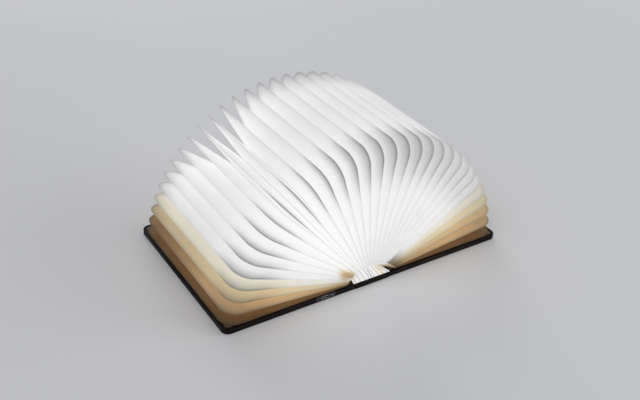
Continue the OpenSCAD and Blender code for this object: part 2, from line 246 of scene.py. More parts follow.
class Graph:
    """Short calls for adding nodes to a tree and joining them."""

    def __init__(self, tree):
        self.tree, self.nodes, self.links = tree, tree.nodes, tree.links

    def add(self, kind, inputs=None, **settings):
        node = self.nodes.new(kind)
        for key, value in settings.items():
            setattr(node, key, value)
        for key, value in (inputs or {}).items():
            self.feed(node.inputs[key], value)
        return node

    def feed(self, socket, value):
        if isinstance(value, bpy.types.NodeSocket):
            self.links.new(value, socket)
        elif isinstance(value, bpy.types.Node):
            self.links.new(value.outputs[0], socket)
        else:
            socket.default_value = value

    def math(self, operation, a, b=None, c=None, clamp=False):
        inputs = {0: a}
        if b is not None:
            inputs[1] = b
        if c is not None:
            inputs[2] = c
        return self.add("ShaderNodeMath", inputs, operation=operation, use_clamp=clamp).outputs[0]

    def mix(self, share, a, b):
        """a + (b - a) * share, for numbers."""
        return self.math("MULTIPLY_ADD", self.math("SUBTRACT", b, a), share, a)

    def xyz(self, x, y, z):
        return self.add("ShaderNodeCombineXYZ", {0: x, 1: y, 2: z}).outputs[0]

    def parts(self, vector):
        return self.add("ShaderNodeSeparateXYZ", {0: vector}).outputs

    def scaled(self, vector, by):
        return self.add("ShaderNodeVectorMath", {0: vector, "Scale": by}, operation="SCALE").outputs[0]

    def plus(self, a, b):
        return self.add("ShaderNodeVectorMath", {0: a, 1: b}, operation="ADD").outputs[0]

    def colours(self, share, a, b, mode="MIX"):
        node = self.nodes.new("ShaderNodeMix")
        node.data_type, node.blend_type = "RGBA", mode
        self.feed(node.inputs[0], share)
        self.feed(node.inputs[6], a)
        self.feed(node.inputs[7], b)
        return node.outputs[2]

    def range(self, value, low, high, to_low=0.0, to_high=1.0, kind="SMOOTHSTEP"):
        return self.add("ShaderNodeMapRange", {0: value, 1: low, 2: high, 3: to_low, 4: to_high},
                        interpolation_type=kind, clamp=True).outputs[0]


def new_tree(name, inputs, outputs, kind="GeometryNodeTree"):
    tree = bpy.data.node_groups.new(name, kind)
    for socket, sort, value in inputs:
        made = tree.interface.new_socket(socket, in_out="INPUT", socket_type=sort)
        if value is not None:
            made.default_value = value
    for socket, sort in outputs:
        tree.interface.new_socket(socket, in_out="OUTPUT", socket_type=sort)
    graph = Graph(tree)
    return graph, graph.add("NodeGroupInput"), graph.add("NodeGroupOutput")


def set_inputs(modifier, values):
    for item in modifier.node_group.interface.items_tree:
        if item.item_type == "SOCKET" and item.in_out == "INPUT" and item.name in values:
            modifier[item.identifier] = values[item.name]


def pleat_tree(material):
    """One pleat: two paper walls from the edges of two leaves in to the fold between them."""
    number = "NodeSocketFloat"
    g, given, out = new_tree("pleat", [
        ("Turn A", number, 90.0), ("Turn B", number, 96.0), ("Width", number, 0.117),
        ("Length", number, 0.152), ("Corner", number, 0.016), ("Depth", number, 0.034),
        ("Start", number, 0.0015), ("Cut", number, 0.008), ("Root spread", number, 0.0165),
        ("Root low", number, 0.005), ("Root high", number, 0.009), ("Leaf", number, 0.0002),
        ("Swell", number, 0.08),
        ("Arc points", "NodeSocketInt", 12), ("Edge points", "NodeSocketInt", 12),
        ("Rows", "NodeSocketInt", 16)], [("Geometry", "NodeSocketGeometry")])
    i = given.outputs
    arc, edge = i["Arc points"], i["Edge points"]
    # five stretches: near edge, corner, fore edge, corner, far edge
    at_corner = g.math("ADD", edge, arc)
    at_far = g.math("ADD", g.math("MULTIPLY", edge, 3.0), g.math("MULTIPLY", arc, 2.0))
    # one more row at each end closes the ridge over the leaf's edge
    rows = g.math("ADD", i["Rows"], 3.0)
    grid = g.add("GeometryNodeMeshGrid", {0: 1.0, 1: 1.0,
                                          2: g.math("ADD", at_far, 1.0), 3: rows})
    index = g.add("GeometryNodeInputIndex").outputs[0]
    step = g.math("FLOOR", g.math("DIVIDE", g.math("ADD", index, 0.5), rows))
    row = g.math("SUBTRACT", index, g.math("MULTIPLY", step, rows))
    across = g.math("DIVIDE", g.math("SUBTRACT", row, 1.0), i["Rows"], clamp=True)
    last = g.math("GREATER_THAN", row, g.math("ADD", i["Rows"], 1.5))
    cap = g.math("ADD", g.math("LESS_THAN", row, 0.5), last)

    # how far in from the leaves' edges: 0 at both leaves, 1 at the fold
    inward = g.math("SUBTRACT", 1.0, g.math("ABSOLUTE", g.math("MULTIPLY_ADD", across, 2.0, -1.0)))
    inset = g.math("MULTIPLY_ADD", inward, i["Depth"], g.math("MULTIPLY", cap, -0.00012))
    reach = g.math("SUBTRACT", i["Width"], inset)
    half = g.math("SUBTRACT", g.math("MULTIPLY", i["Length"], 0.5), inset)
    round_ = g.mix(inward, i["Corner"], 0.009)
    # straight edges and corner arcs as five clamped shares of the way round
    a = g.math("DIVIDE", step, edge, clamp=True)
    b = g.math("DIVIDE", g.math("SUBTRACT", step, edge), arc, clamp=True)
    c = g.math("DIVIDE", g.math("SUBTRACT", step, at_corner), edge, clamp=True)
    d = g.math("DIVIDE", g.math("SUBTRACT", step, g.math("ADD", at_corner, edge)), arc, clamp=True)
    e = g.math("DIVIDE", g.math("SUBTRACT", step, g.math("ADD", at_far, g.math("MULTIPLY", edge, -1.0))),
               edge, clamp=True)
    run = g.math("SUBTRACT", g.math("SUBTRACT", reach, round_), i["Start"])
    quarter = math.pi / 2
    bend_b, bend_d = g.math("MULTIPLY", b, quarter), g.math("MULTIPLY", d, quarter)
    turn_out = g.math("SINE", bend_b)
    turn_in = g.math("SUBTRACT", g.math("COSINE", bend_d), 1.0)
    u = g.math("ADD", g.math("MULTIPLY", run, g.math("SUBTRACT", a, e)),
               g.math("MULTIPLY_ADD", round_, g.math("ADD", turn_out, turn_in), i["Start"]))
    rise = g.math("SUBTRACT", 1.0, g.math("COSINE", bend_b))
    rest = g.math("SINE", bend_d)
    straight = g.math("MULTIPLY", g.math("SUBTRACT", half, round_), 2.0)
    y = g.math("SUBTRACT", g.math("ADD", g.math("MULTIPLY", round_, g.math("ADD", rise, rest)),
                                  g.math("MULTIPLY", straight, c)), half)
    # the leaves' root corners are cut back at 45 degrees
    room = g.math("ADD", g.math("SUBTRACT", g.math("MULTIPLY", i["Length"], 0.5), i["Cut"]), u)
    y = g.math("MAXIMUM", g.math("MINIMUM", y, room), g.math("MULTIPLY", room, -1.0))

    # share of the way from leaf A to leaf B, with a small gap over each leaf and a gentle swell
    def place(share):
        turn = g.mix(share, i["Turn A"], i["Turn B"])
        angle = g.math("RADIANS", turn)
        x = g.math("MULTIPLY_ADD", g.math("COSINE", angle), u, g.math(
            "MULTIPLY", i["Root spread"], g.math("SUBTRACT", 1.0, g.math("DIVIDE", turn, 90.0))))
        z = g.math("MULTIPLY_ADD", g.math("SINE", angle), u, g.math(
            "MULTIPLY_ADD", g.math("SUBTRACT", i["Root high"], i["Root low"]),
            g.math("SINE", angle), i["Root low"]))
        return g.xyz(x, y, z)

    ends = [place(0.0), place(1.0)]
    gap = g.add("ShaderNodeVectorMath", {0: ends[0], 1: ends[1]}, operation="DISTANCE").outputs[1]
    edge_share = g.math("DIVIDE", g.math("MULTIPLY_ADD", i["Leaf"], 0.5, 0.00006), gap)
    side = g.math("MULTIPLY_ADD", across, 2.0, -1.0)
    swell = g.math("MULTIPLY", g.math("SINE", g.math("MULTIPLY", side, math.pi)), i["Swell"])
    bulge = g.math("MULTIPLY", swell, g.range(gap, 0.002, 0.008))
    share = g.math("ADD", g.mix(across, edge_share, g.math("SUBTRACT", 1.0, edge_share)), bulge)
    share = g.mix(cap, share, last)
    moved = g.add("GeometryNodeSetPosition", {"Geometry": grid.outputs[0], "Position": place(share)})

    def keep(geometry, name, value):
        return g.add("GeometryNodeStoreNamedAttribute", {0: geometry, "Name": name, "Value": value},
                     data_type="FLOAT", domain="POINT").outputs[0]

    kept = keep(moved.outputs[0], "fold", g.math("MULTIPLY_ADD", cap, -0.04, inward))
    kept = keep(kept, "out", g.math("DIVIDE", u, i["Width"]))
    whole = g.add("GeometryNodeRealizeInstances", {0: kept}).outputs[0]
    done = g.add("GeometryNodeSetMaterial", {"Geometry": whole, "Material": material}).outputs[0]
    g.feed(out.inputs[0], done)
    return g.tree


# ---------------------------------------------------------------- materials

def shader(name, **settings):
    material = bpy.data.materials.new(name)
    material.use_nodes = True
    g = Graph(material.node_tree)
    surface = next(n for n in g.nodes if n.type == "BSDF_PRINCIPLED")
    for key, value in settings.items():
        surface.inputs[key.replace("_", " ")].default_value = value
    return material, g, surface


def four(values):
    return (*values, 1.0)


def seen_ray(g):
    """1 for what the camera sees directly, in a mirror or through glass."""
    path = g.add("ShaderNodeLightPath").outputs
    return g.math("MAXIMUM", path["Is Camera Ray"],
                  g.math("MAXIMUM", path["Is Glossy Ray"], path["Is Transmission Ray"]))


def group_node(g, tree, inputs):
    node = g.nodes.new("ShaderNodeGroup")
    node.node_tree = tree
    for key, value in inputs.items():
        g.feed(node.inputs[key], value)
    return node


def fibre_group():
    """Fine random fibres and a soft mottle, as in spunbond paper."""
    g, given, out = new_tree("fibre", [("Vector", "NodeSocketVector", None),
                                       ("Scale", "NodeSocketFloat", 1.0)],
                             [("Mottle", "NodeSocketFloat"), ("Fibre", "NodeSocketFloat")],
                             "ShaderNodeTree")
    where, scale = given.outputs["Vector"], given.outputs["Scale"]
    cloud = g.add("ShaderNodeTexNoise", {"Vector": where, "Scale": g.math("MULTIPLY", scale, 160.0),
                                         "Detail": 3.0, "Roughness": 0.6})
    hair = g.add("ShaderNodeTexNoise", {"Vector": where, "Scale": g.math("MULTIPLY", scale, 900.0),
                                        "Detail": 4.0, "Roughness": 0.7, "Distortion": 2.5})
    g.feed(out.inputs["Mottle"], cloud.outputs[0])
    g.feed(out.inputs["Fibre"], hair.outputs[0])
    return g.tree


def pebble_group():
    """Leather pebbles: rounded cells with creases between them, and a broad unevenness."""
    g, given, out = new_tree("pebbles", [("Vector", "NodeSocketVector", None),
                                         ("Size", "NodeSocketFloat", 1.0)],
                             [("Height", "NodeSocketFloat"), ("Crease", "NodeSocketFloat"),
                              ("Broad", "NodeSocketFloat")], "ShaderNodeTree")
    where = given.outputs["Vector"]
    scale = g.math("DIVIDE", 1000.0, given.outputs["Size"])
    warp = g.add("ShaderNodeTexNoise", {"Vector": where, "Scale": g.math("MULTIPLY", scale, 0.6),
                                        "Detail": 2.0})
    bent = g.plus(where, g.scaled(warp.outputs[1], 0.0006))
    cells = g.add("ShaderNodeTexVoronoi", {"Vector": bent, "Scale": scale}, feature="DISTANCE_TO_EDGE")
    crease = g.range(cells.outputs[0], 0.0, 0.16, 1.0, 0.0)
    fine = g.add("ShaderNodeTexNoise", {"Vector": where, "Scale": g.math("MULTIPLY", scale, 3.0),
                                        "Detail": 3.0})
    height = g.math("SUBTRACT", g.math("MULTIPLY", fine.outputs[0], 0.25), crease)
    broad = g.add("ShaderNodeTexNoise", {"Vector": where, "Scale": 18.0, "Detail": 4.0,
                                         "Roughness": 0.65})
    g.feed(out.inputs["Height"], height)
    g.feed(out.inputs["Crease"], crease)
    g.feed(out.inputs["Broad"], broad.outputs[0])
    return g.tree


def lit_group():
    """Painted light and shade: how much the lamp inside would light the paper, set by where on the lamp
    it is.
    """
    g, given, out = new_tree("lamp light", [("Vector", "NodeSocketVector", None)],
                             [("Light", "NodeSocketFloat"), ("Warm shade", "NodeSocketFloat"),
                              ("Corner", "NodeSocketFloat"), ("Root shade", "NodeSocketFloat"),
                              ("Rim", "NodeSocketFloat"), ("Spread", "NodeSocketFloat"),
                              ("Warm", "NodeSocketFloat"), ("Deep", "NodeSocketFloat")],
                             "ShaderNodeTree")
    root_height, half_length, fan_radius = 0.005, 0.076, 0.121
    x, y, z = g.parts(given.outputs["Vector"])[:3]
    up = g.math("SUBTRACT", z, root_height)
    far = g.math("SQRT", g.math("ADD", g.math("MULTIPLY", x, x), g.math("MULTIPLY", up, up)))
    end = g.math("SUBTRACT", half_length, g.math("ABSOLUTE", y))
    # sine of the angle over the nearer cover
    level = g.math("DIVIDE", up, g.math("MAXIMUM", far, 0.002))
    # painted warm shade: this mask is 1 next to either cover and fades as the leaves rise
    near_low, rim_low = g.range(x, -0.02, 0.01, 0.27, 0.52), g.range(x, -0.02, 0.01, 0.37, 0.56)
    low = g.mix(g.range(far, 0.030, 0.105), near_low, rim_low)
    tan = g.range(level, 0.03, low, 1.0, 0.0)
    # painted shade on the free corners, which are the farthest from the lamp
    reach = g.math("SUBTRACT", fan_radius, far)
    corner = g.range(g.math("SQRT", g.math("ADD", g.math("MULTIPLY", reach, reach),
                                           g.math("MULTIPLY", end, end))), 0.008, 0.044, 1.0, 0.0)
    corner = g.math("MULTIPLY", corner, g.range(x, 0.02, 0.10, 1.0, 0.5))
    corner = g.math("MULTIPLY", corner, g.range(y, -0.02, 0.05, 1.0, 0.72))
    # painted brown shadow behind the leaves' cut corners, beside the ribbed root
    root_shade = g.math("MULTIPLY", g.range(level, 0.46, 0.56, 1.0, 0.0),
                    g.range(far, 0.016, 0.038, 1.0, 0.0))
    root_shade = g.math("MULTIPLY", root_shade, g.range(end, 0.004, 0.020, 1.0, 0.0))
    root_shade = g.math("MULTIPLY", root_shade, g.range(x, -0.010, 0.010, 0.12, 1.0))
    # painted warm shade on the left, where a flap lit from behind shows; it is only colour on the
    # pleats, not a piece
    flap_shade = g.math("MULTIPLY", g.range(level, 0.20, 0.30), g.range(level, 0.44, 0.52, 1.0, 0.0))
    flap_shade = g.math("MULTIPLY", flap_shade, g.math("MULTIPLY", g.range(x, -0.034, -0.026),
                                           g.range(x, -0.018, -0.014, 1.0, 0.0)))
    flap_shade = g.math("MULTIPLY", flap_shade, g.range(end, 0.004, 0.009, 0.75, 0.0))
    tan = g.math("MAXIMUM", tan, flap_shade)
    # painted shade along the leaves' rim, low in the fan where the warm shade is
    rim = g.math("MAXIMUM", g.range(reach, 0.004, 0.016, 1.0, 0.0), g.range(end, 0.0, 0.010, 1.0, 0.0))
    # painted fall-off of that glow: dimmer low in the fan, near the root and towards the middle of the
    # leaves' length
    light = g.math("MULTIPLY", g.range(level, 0.0, 0.5, 0.72, 1.0), g.range(far, 0.0, 0.05, 0.9, 1.0))
    light = g.math("MULTIPLY", light, g.range(g.math("ABSOLUTE", y), 0.0, half_length, 0.86, 1.0))
    # painted shadow: hardly any light gets between the last leaf and its cover, or to the rim low down
    deep = g.math("MULTIPLY", g.range(far, 0.098, 0.120), g.range(level, 0.04, 0.24, 0.8, 0.0))
    deep = g.math("MULTIPLY", deep, g.range(y, -0.05, 0.06, 0.15, 1.0))
    beside_cover = g.range(level, 0.0, g.range(x, 0.0, 0.04, 0.042, 0.085), 1.0, 0.0)
    deep = g.math("MAXIMUM", deep, beside_cover)
    g.feed(out.inputs["Deep"], deep)
    g.feed(out.inputs["Light"], light)
    g.feed(out.inputs["Warm shade"], tan)
    g.feed(out.inputs["Corner"], corner)
    g.feed(out.inputs["Root shade"], root_shade)
    g.feed(out.inputs["Rim"], g.math("MULTIPLY", rim, tan))
    g.feed(out.inputs["Spread"], g.range(x, -0.07, 0.03, 0.32, 0.50))
    # painted light: the one cell of the root strip through which the lamp shines
    cell = g.math("MULTIPLY", g.range(x, 0.0078, 0.0085), g.range(x, 0.0117, 0.0124, 1.0, 0.0))
    g.feed(out.inputs["Warm"], cell)
    return g.tree


def paper(name, groups, rows=True, grooves=False):
    looks = bpy.context.scene.lamp_paper
    material, g, surface = shader(name, Roughness=0.62, Specular_IOR_Level=0.3,
                                  Emission_Strength=looks.glow_strength)
    where = g.add("ShaderNodeTexCoord").outputs["Object"]
    fibre = group_node(g, groups["fibre"], {"Vector": where, "Scale": 1.0}).outputs
    lit = group_node(g, groups["lit"], {"Vector": where}).outputs
    shade = g.range(fibre["Mottle"], 0.35, 0.7, 0.95, 1.0)
    mottled = 0.0 if grooves else g.range(fibre["Mottle"], 0.3, 0.7, 0.9, 1.0)
    tan = g.math("MULTIPLY", lit["Warm shade"], mottled)
    # painted shade: the paper's colour is darker along its rim low in the fan
    shade = g.math("MULTIPLY", shade, g.math("MULTIPLY_ADD", lit["Rim"], 0.0 if grooves else -0.3, 1.0))
    # white, then painted warm light, warm shade and brown shadow as the cover comes nearer
    tone = g.colours(g.range(tan, 0.0, 0.5), four(looks.white), four(looks.warm_light_tint))
    tone = g.colours(g.range(tan, 0.35, 0.85), tone, four(looks.tan))
    # painted shadow next to a cover: the paper turns brown there, and its glow and colour are dimmed
    if not grooves:
        tone = g.colours(lit["Deep"], tone, four(looks.brown))
    near_cover = g.math("MULTIPLY_ADD", lit["Deep"], -looks.cover_dull, 1.0)
    light = g.math("MULTIPLY", lit["Light"], near_cover)
    if not grooves:
        shade = g.math("MULTIPLY", shade, near_cover)
    if rows:
        fold = g.add("ShaderNodeAttribute", attribute_name="fold").outputs["Fac"]
        # painted shade along each ridge's capped edge, on the glow and the colour
        rim = g.range(fold, -0.03, 0.02)
        # painted shade over the free corners, on the glow and the colour
        spread = g.range(g.math("DIVIDE", fold, lit["Spread"]), 0.0, 1.0, 1.0, 0.0)
        corner_shade = g.math("MULTIPLY", lit["Corner"], spread)
        light = g.math("MULTIPLY", light, g.math("MULTIPLY_ADD", corner_shade, -looks.corner_dull, 1.0))
        light = g.math("MULTIPLY", light, g.mix(rim, 0.84, 1.0))
        # painted shadow: a fine dark line under each ridge, strongest at the corners and low in the fan
        line = g.math("MULTIPLY", g.range(fold, 0.0, 0.09, 1.0, 0.0),
                      g.math("MAXIMUM", lit["Corner"], tan))
        light = g.math("MULTIPLY", light, g.math("MULTIPLY_ADD", line, -0.38, 1.0))
        shade = g.math("MULTIPLY", shade, g.math("MULTIPLY_ADD", line, -0.3, 1.0))
        shade = g.math("MULTIPLY", shade, g.math("MULTIPLY_ADD", corner_shade, -0.2, 1.0))
        shade = g.math("MULTIPLY", shade, g.mix(rim, 0.90, 1.0))
        # painted brown shadow at the root, which also dims the glow there
        tone = g.colours(lit["Root shade"], tone, four(looks.root_shade))
        light = g.math("MULTIPLY", light, g.math("MULTIPLY_ADD", lit["Root shade"], -0.8, 1.0))
    # painted light and shade on the ribbed root strip: it glows except in its grooves, which are painted
    # dark as shade, and is tinted warm over the lamp's cell
    if grooves:
        wave = g.add("ShaderNodeAttribute", attribute_name="groove").outputs["Fac"]
        groove = g.range(wave, 0.90, 1.0, 0.0, 0.8)
        tone = g.colours(lit["Warm"], tone, four(looks.warm))
        tone = g.colours(groove, tone, four(looks.root_shade))
        light = g.math("SUBTRACT", 1.0, groove)
    grey = g.add("ShaderNodeCombineColor", {0: shade, 1: shade, 2: shade}).outputs[0]
    base = g.colours(1.0, tone, grey, "MULTIPLY")
    g.feed(surface.inputs["Base Color"], base)
    # painted glow: the emission stands in for the lamp's light through the paper, dimmed and warmed by
    # the masks above
    glow = g.colours(g.range(tan, 0.0, 0.45), four(looks.glow), four(looks.warm_glow))
    glow = g.colours(g.range(tan, 0.35, 0.9), glow, tone)
    g.feed(surface.inputs["Emission Color"], g.colours(light, (0, 0, 0, 1), glow))
    bump = g.add("ShaderNodeBump", {"Strength": 0.25, "Distance": 0.00015, "Height": fibre["Fibre"]})
    g.feed(surface.inputs["Normal"], bump)
    return material


def leather(name, groups):
    looks = bpy.context.scene.lamp_covers
    material, g, surface = shader(name, Roughness=0.5, Specular_IOR_Level=0.10)
    where = g.add("ShaderNodeTexCoord").outputs["Object"]
    grain = group_node(g, groups["pebbles"], {"Vector": where, "Size": looks.grain}).outputs
    edge = g.add("ShaderNodeNewGeometry").outputs["Pointiness"]
    worn = g.math("MULTIPLY", g.range(edge, 0.52, 0.62), g.range(grain["Broad"], 0.4, 0.65))
    base = g.colours(worn, four(looks.leather), four(looks.worn))
    base = g.colours(g.math("MULTIPLY", grain["Crease"], 0.5), base, (0.004, 0.003, 0.0025, 1))
    g.feed(surface.inputs["Base Color"], base)
    g.feed(surface.inputs["Roughness"], g.range(grain["Broad"], 0.3, 0.7, 0.42, 0.62))
    bump = g.add("ShaderNodeBump", {"Strength": 0.5, "Distance": 0.00025, "Height": grain["Height"]})
    g.feed(surface.inputs["Normal"], bump)
    return material


def plain(name, base, roughness, metallic=0.0, speckle=0.06, scale=700.0, bump=0.00008, **settings):
    """A moulded, cast or plated finish: a faint mottle in colour and gloss, and a fine texture."""
    material, g, surface = shader(name, Metallic=metallic, **settings)
    where = g.add("ShaderNodeTexCoord").outputs["Object"]
    noise = g.add("ShaderNodeTexNoise", {"Vector": where, "Scale": scale, "Detail": 4.0}).outputs[0]
    broad = g.add("ShaderNodeTexNoise", {"Vector": where, "Scale": 60.0, "Detail": 3.0}).outputs[0]
    darker = tuple(v * (1 - 4 * speckle) for v in base)
    g.feed(surface.inputs["Base Color"], g.colours(g.range(broad, 0.35, 0.65), four(darker), four(base)))
    rough = g.range(noise, 0.3, 0.7, max(0.05, roughness - 0.08), roughness + 0.08)
    g.feed(surface.inputs["Roughness"], rough)
    g.feed(surface.inputs["Normal"], g.add("ShaderNodeBump", {"Strength": 0.3, "Distance": bump,
                                                              "Height": noise}))
    return material


def finishes():
    """Every finish of the lamp by name, made once."""
    if FINISHES:
        return FINISHES
    groups = {"fibre": fibre_group(), "pebbles": pebble_group(), "lit": lit_group()}
    covers = bpy.context.scene.lamp_covers
    FINISHES.update(
        pleat_paper=paper("pleat paper", groups),
        leaf_paper=paper("leaf paper", groups, rows=False),
        root_paper=paper("root paper", groups, rows=False, grooves=True),
        leather=leather("leatherette", groups),
        lining=plain("lining paper", covers.lining, 0.7, speckle=0.05),
        board=plain("grey board", (0.30, 0.25, 0.20), 0.85, speckle=0.08, scale=400.0),
        black=plain("black plastic", (0.022, 0.022, 0.024), 0.45, scale=2500.0),
        aluminium=plain("satin aluminium", (0.72, 0.72, 0.72), 0.34, 1.0, 0.02),
        steel=plain("tin plate", (0.68, 0.68, 0.67), 0.24, 1.0, 0.03),
        nickel=plain("nickel plate", (0.62, 0.60, 0.56), 0.2, 1.0, 0.03),
        resist=plain("solder resist", (0.03, 0.16, 0.07), 0.35, speckle=0.05),
        phosphor=plain("phosphor", (0.85, 0.66, 0.16), 0.4),
        milky=plain("milky diffuser", (0.80, 0.80, 0.77), 0.4, speckle=0.01),
        film=plain("cable film", (0.50, 0.22, 0.05), 0.3),
        foil=plain("battery foil", (0.55, 0.58, 0.62), 0.36, 1.0, 0.03),
        light_pipe=plain("light pipe", (0.28, 0.34, 0.30), 0.2, speckle=0.02),
    )
    return FINISHES


FINISHES = {}
NODE_FINISH = {
    "spine_board": "board", "led_housing": "aluminium", "led_board": "resist", "led_chips": "phosphor",
    "lid_sensor": "black", "led_diffuser": "milky", "lining_left": "lining", "lining_right": "lining",
    "cover_board_left": "board", "cover_board_right": "board", "magnets_left": "nickel",
    "magnets_right": "nickel", "battery": "foil", "charge_board": "resist", "usb_bezel": "black",
    "usb_socket": "steel", "charge_light": "light_pipe", "spine_leather": "leather",
    "cover_leather_left": "leather", "cover_leather_right": "leather",
}


# ---------------------------------------------------------------- operators

class LAMP_OT_stage(bpy.types.Operator):
    """Sets the pale floor, the soft lights and the camera"""
    bl_idname = "lamp.stage"
    bl_label = "Stage"

    def execute(self, context):
        stage = context.scene.lamp_stage
        turn, height = math.radians(stage.turn), math.radians(stage.height)
        back = Vector((math.sin(turn) * math.cos(height), -math.cos(turn) * math.cos(height),
                       math.sin(height)))
        right = Vector((math.cos(turn), math.sin(turn), 0))
        up = back.cross(right)
        roll = math.radians(stage.roll)
        across = right * math.cos(roll) + up * math.sin(roll)
        over = up * math.cos(roll) - right * math.sin(roll)
        data = bpy.data.cameras.new("camera")
        data.lens, data.sensor_width, data.clip_end = stage.lens, 36.0, 20.0
        camera = bpy.data.objects.new("camera", data)
        matrix = Matrix((across, over, back)).transposed().to_4x4()
        matrix.translation = Vector(stage.aim) + back * stage.distance
        camera.matrix_world = matrix
        context.scene.collection.objects.link(camera)
        context.scene.camera = camera
        context.scene.view_settings.view_transform = "Standard"

        mesh = bpy.data.meshes.new("floor")
        form = bmesh.new()
        bmesh.ops.create_circle(form, cap_ends=True, segments=96, radius=6.0)
        form.to_mesh(mesh)
        form.free()
        floor = helper("floor", mesh)
        floor.location.z = -0.0002
        material, g, surface = shader("floor", Roughness=0.75, Specular_IOR_Level=0.2)
        where = g.add("ShaderNodeTexCoord").outputs["Object"]
        cloud = g.add("ShaderNodeTexNoise", {"Vector": where, "Scale": 3.0, "Detail": 2.0}).outputs[0]
        tone = tuple(stage.floor)
        out = g.add("ShaderNodeVectorMath", {0: where}, operation="LENGTH").outputs[1]
        surface.inputs["Emission Color"].default_value = (0.93, 0.95, 1.0, 1)
        # the floor far away stays as pale as the world behind it
        g.feed(surface.inputs["Emission Strength"],
               g.math("MULTIPLY", seen_ray(g), g.range(out, 0.45, 2.2, 0.0, stage.floor_glow)))
        g.feed(surface.inputs["Base Color"], g.colours(
            g.range(cloud, 0.3, 0.7), four(tuple(v * 0.985 for v in tone)), four(tone)))
        mesh.materials.append(material)

        world = bpy.data.worlds.new("studio")
        context.scene.world = world
        world.use_nodes = True
        sky = Graph(world.node_tree)
        background = sky.nodes["Background"]
        background.inputs[0].default_value = (0.93, 0.95, 1.0, 1)
        # it lights the lamp softly, and is paler where it is seen itself
        sky.feed(background.inputs[1], sky.mix(seen_ray(sky), stage.sky_light, stage.sky_seen))

        def lamp(name, place, aim, width, power, tint=(1, 1, 1)):
            light = bpy.data.lights.new(name, "AREA")
            light.shape, light.size, light.size_y = "RECTANGLE", width, width * 0.7
            light.energy, light.color = power, tint
            holder = bpy.data.objects.new(name, light)
            holder.location = place
            holder.rotation_euler = (Vector(aim) - Vector(place)).to_track_quat("-Z", "Y").to_euler()
            context.scene.collection.objects.link(holder)

        lamp("key", (-0.9, -0.6, 1.25), (0, 0, 0.05), 0.9, 4.2, (1.0, 0.985, 0.96))
        lamp("fill", (1.2, -0.7, 0.7), (0, 0, 0.05), 1.0, 5.0, (0.95, 0.97, 1.0))
        lamp("rim", (0.3, 1.2, 0.9), (0, 0, 0.05), 0.8, 4.0)
        return {"FINISHED"}


class LAMP_OT_finishes(bpy.types.Operator):
    """Gives the frame's own parts their finishes"""
    bl_idname = "lamp.finishes"
    bl_label = "Finishes"

    def execute(self, context):
        made = finishes()
        for node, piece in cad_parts.items():
            key = "leaf_paper" if node.startswith("page_") else NODE_FINISH.get(node)
            if key:
                piece.data.materials.clear()
                piece.data.materials.append(made[key])
        return {"FINISHED"}


class LAMP_OT_pleats(bpy.types.Operator):
    """Folds a paper pleat between every two leaves"""
    bl_idname = "lamp.pleats"
    bl_label = "Pleats"

    def execute(self, context):
        leaves, pleats = context.scene.lamp_leaves, context.scene.lamp_pleats
        made = finishes()["pleat_paper"]
        tree = pleat_tree(made)
        turns = leaf_turns()
        for first in range(1, LEFT_LEAVES + RIGHT_LEAVES + 1):
            second = first + 1
            piece = helper(f"pleat_{first:02d}", bpy.data.meshes.new("pleat"))
            modifier = piece.modifiers.new("pleat", "NODES")
            modifier.node_group = tree
            set_inputs(modifier, {
                "Turn A": turns[first], "Turn B": turns[second], "Width": leaves.width,
                "Length": leaves.length, "Corner": leaves.corner, "Depth": pleats.depth,
                "Start": pleats.start, "Cut": leaves.root_cut,
                "Root spread": leaves.root_spread, "Root low": leaves.root_low,
                "Root high": leaves.root_high, "Leaf": leaves.thickness, "Swell": pleats.swell,
                "Arc points": pleats.arc_points, "Edge points": pleats.edge_points,
                "Rows": pleats.rows})
            mesh = baked(piece, f"pleat_{first:02d}")
            form = bmesh.new()
            form.from_mesh(mesh)
            # faces towards the open side of the pleat
            middle = (turns[first] + turns[second]) / 2
            outward = sum((face.normal.dot(out_from(middle)) for face in form.faces), 0.0)
            if outward < 0:
                bmesh.ops.reverse_faces(form, faces=form.faces)
            form.to_mesh(mesh)
            form.free()
            piece = put(f"pleat_{first:02d}", mesh, made, None)
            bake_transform(piece)
            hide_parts("pleats_left" if first < MIDDLE else "pleats_right")
        return {"FINISHED"}


